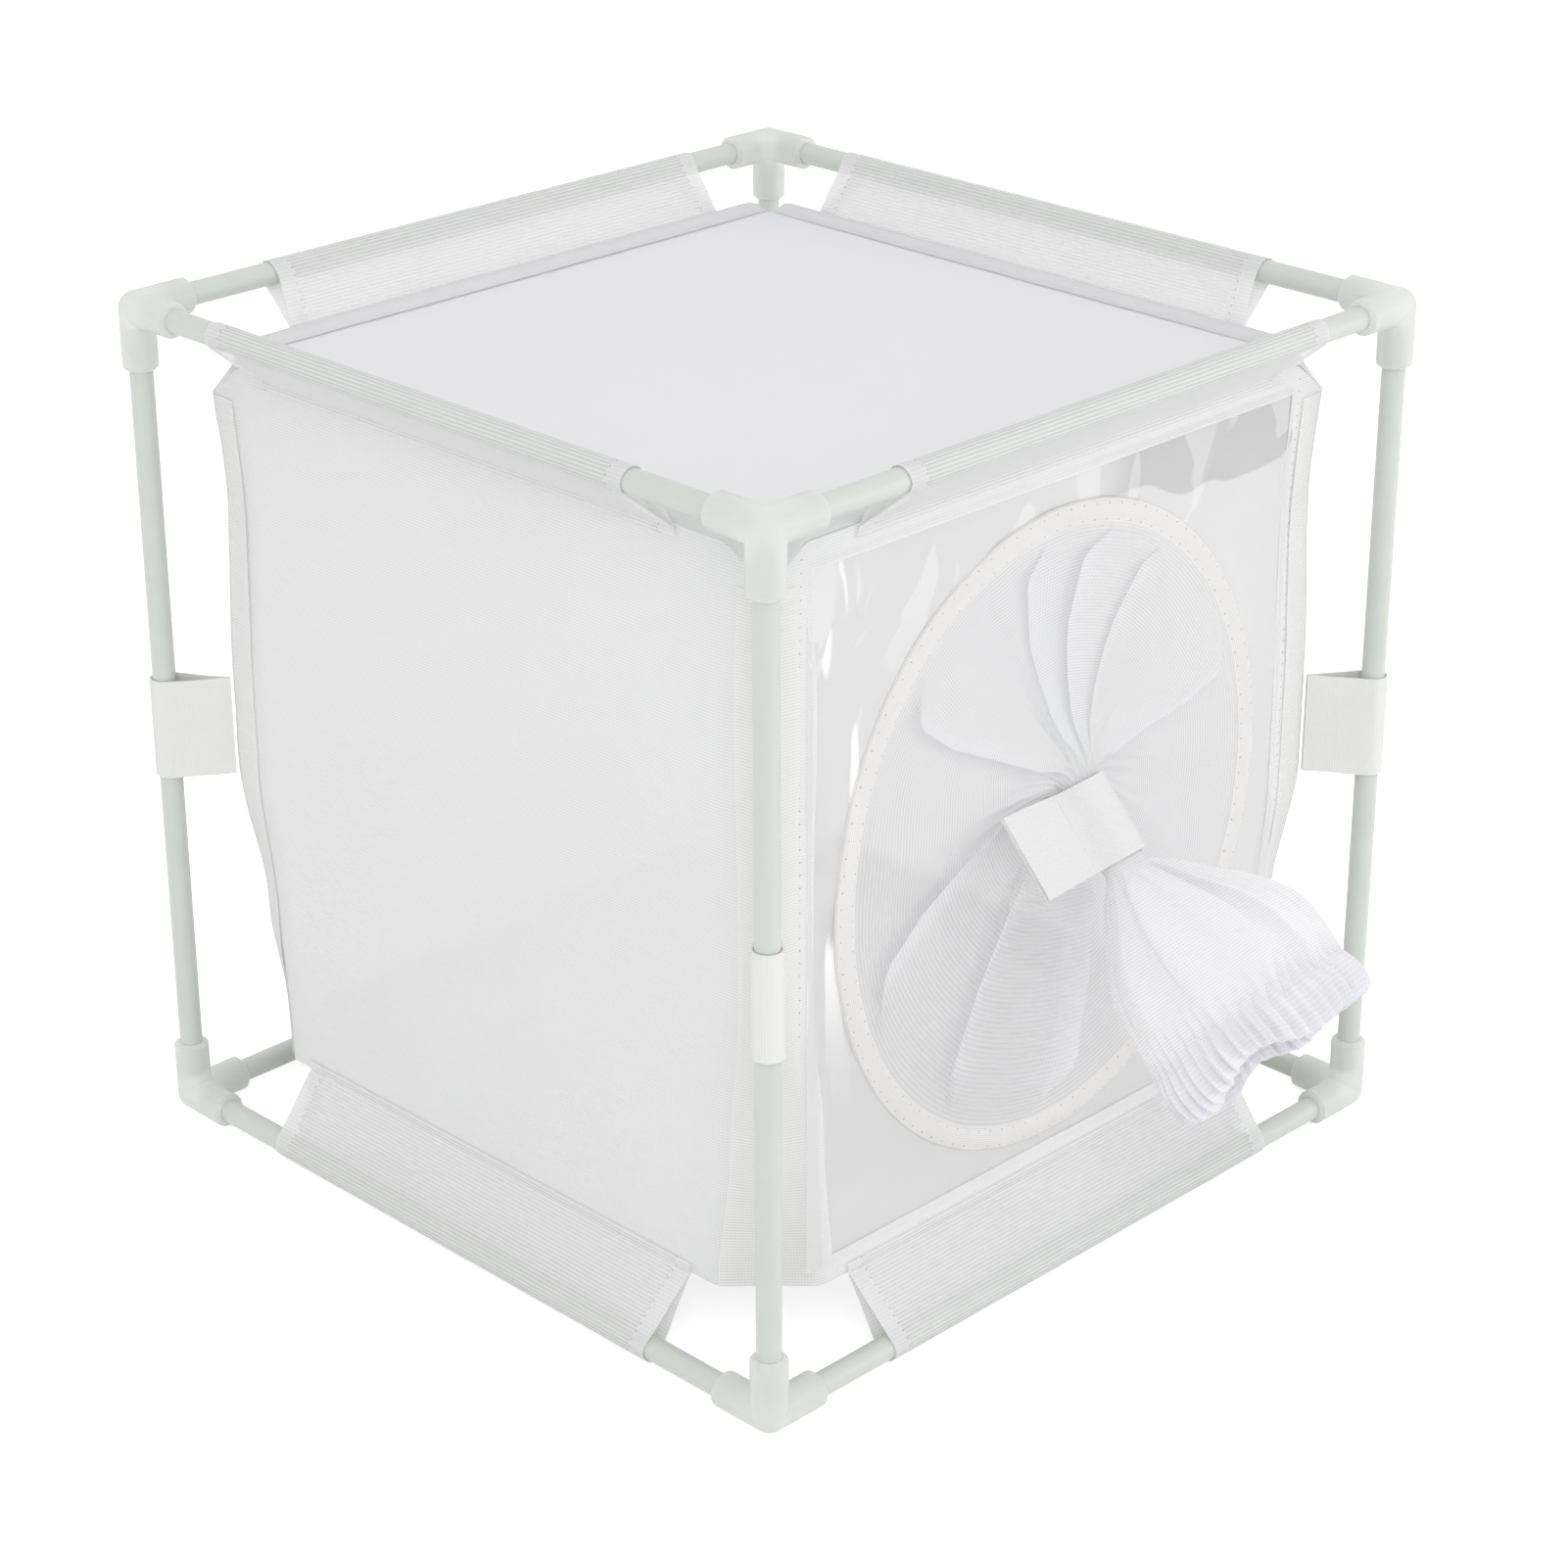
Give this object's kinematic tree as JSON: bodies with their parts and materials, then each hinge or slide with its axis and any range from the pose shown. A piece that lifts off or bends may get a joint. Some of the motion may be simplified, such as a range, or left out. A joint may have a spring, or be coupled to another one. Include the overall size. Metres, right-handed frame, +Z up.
{
  "type": "butterfly habitat cage",
  "caption": "Cube rearing cage: a mesh box with a clear window and a tied sleeve port, hung by pockets and straps inside a frame of plastic tubes and corner fittings.",
  "frame": {"origin": "on the surface the cage stands on, under the middle of the whole outline, sleeve included", "axes": "+Z up; -Y points out of the window face towards the hanging sleeve; +X is right when seen from the window side"},
  "size_m": [0.325, 0.411, 0.3247],
  "materials": {
    "frame_tube": "satin",
    "fitting": "satin",
    "mesh": "fine mesh",
    "roof_cloth": "smooth plain weave",
    "film": "clear soft film",
    "elastic": "gathered elastic",
    "webbing": "woven tape",
    "binding": "folded mesh tape"
  },
  "bodies": {
    "root": {"corner_bottom_back_left": "fitting", "corner_bottom_back_right": "fitting", "corner_bottom_front_left": "fitting", "corner_bottom_front_right": "fitting", "corner_top_back_left": "fitting", "corner_top_back_right": "fitting", "corner_top_front_left": "fitting", "corner_top_front_right": "fitting", "panel_back": "mesh", "panel_bottom": "mesh", "panel_left": "mesh", "panel_right": "mesh", "panel_top": "roof_cloth", "pocket_bottom_back": "mesh", "pocket_bottom_front": "mesh", "pocket_bottom_left": "mesh", "pocket_bottom_right": "mesh", "pocket_top_back": "mesh", "pocket_top_front": "mesh", "pocket_top_left": "mesh", "pocket_top_right": "mesh", "port_tape": "binding", "seam_binding_back_left": "binding", "seam_binding_back_right": "binding", "seam_binding_front_left": "binding", "seam_binding_front_right": "binding", "side_strap_back_left": "webbing", "side_strap_back_right": "webbing", "side_strap_front_left": "webbing", "side_strap_front_right": "webbing", "sleeve_pleats": "mesh", "tube_bottom_back": "frame_tube", "tube_bottom_front": "frame_tube", "tube_bottom_left": "frame_tube", "tube_bottom_right": "frame_tube", "tube_top_back": "frame_tube", "tube_top_front": "frame_tube", "tube_top_left": "frame_tube", "tube_top_right": "frame_tube", "tube_upright_back_left": "frame_tube", "tube_upright_back_right": "frame_tube", "tube_upright_front_left": "frame_tube", "tube_upright_front_right": "frame_tube", "welt_back": "roof_cloth", "welt_front": "roof_cloth", "welt_left": "roof_cloth", "welt_right": "roof_cloth", "window_border": "mesh", "window_film": "film"},
    "tie": {"tie_band": "webbing", "neck_bunch": "mesh"},
    "tail": {"tie_tail": "webbing"},
    "cuff": {"sleeve_cuff": "mesh", "elastic_frill": "elastic"}
  },
  "joints": [
    {"name": "sleeve_lift", "type": "hinge", "parent": "root", "child": "tie", "pos_m": [-0.009, -0.11245, 0.188], "axis": [-1, 0, 0], "range_deg": [0, 50]},
    {"name": "tail_peel", "type": "hinge", "parent": "tie", "child": "tail", "pos_m": [-0.02105, -0.12316, 0.17576], "axis": [-0.06, 0.6301, 0.7742], "range_deg": [0, 110]},
    {"name": "cuff_swing", "type": "hinge", "parent": "tie", "child": "cuff", "pos_m": [-0.00732, -0.13009, 0.16632], "axis": [0, -0.7756, 0.6313], "range_deg": [-20, 20]}
  ]
}
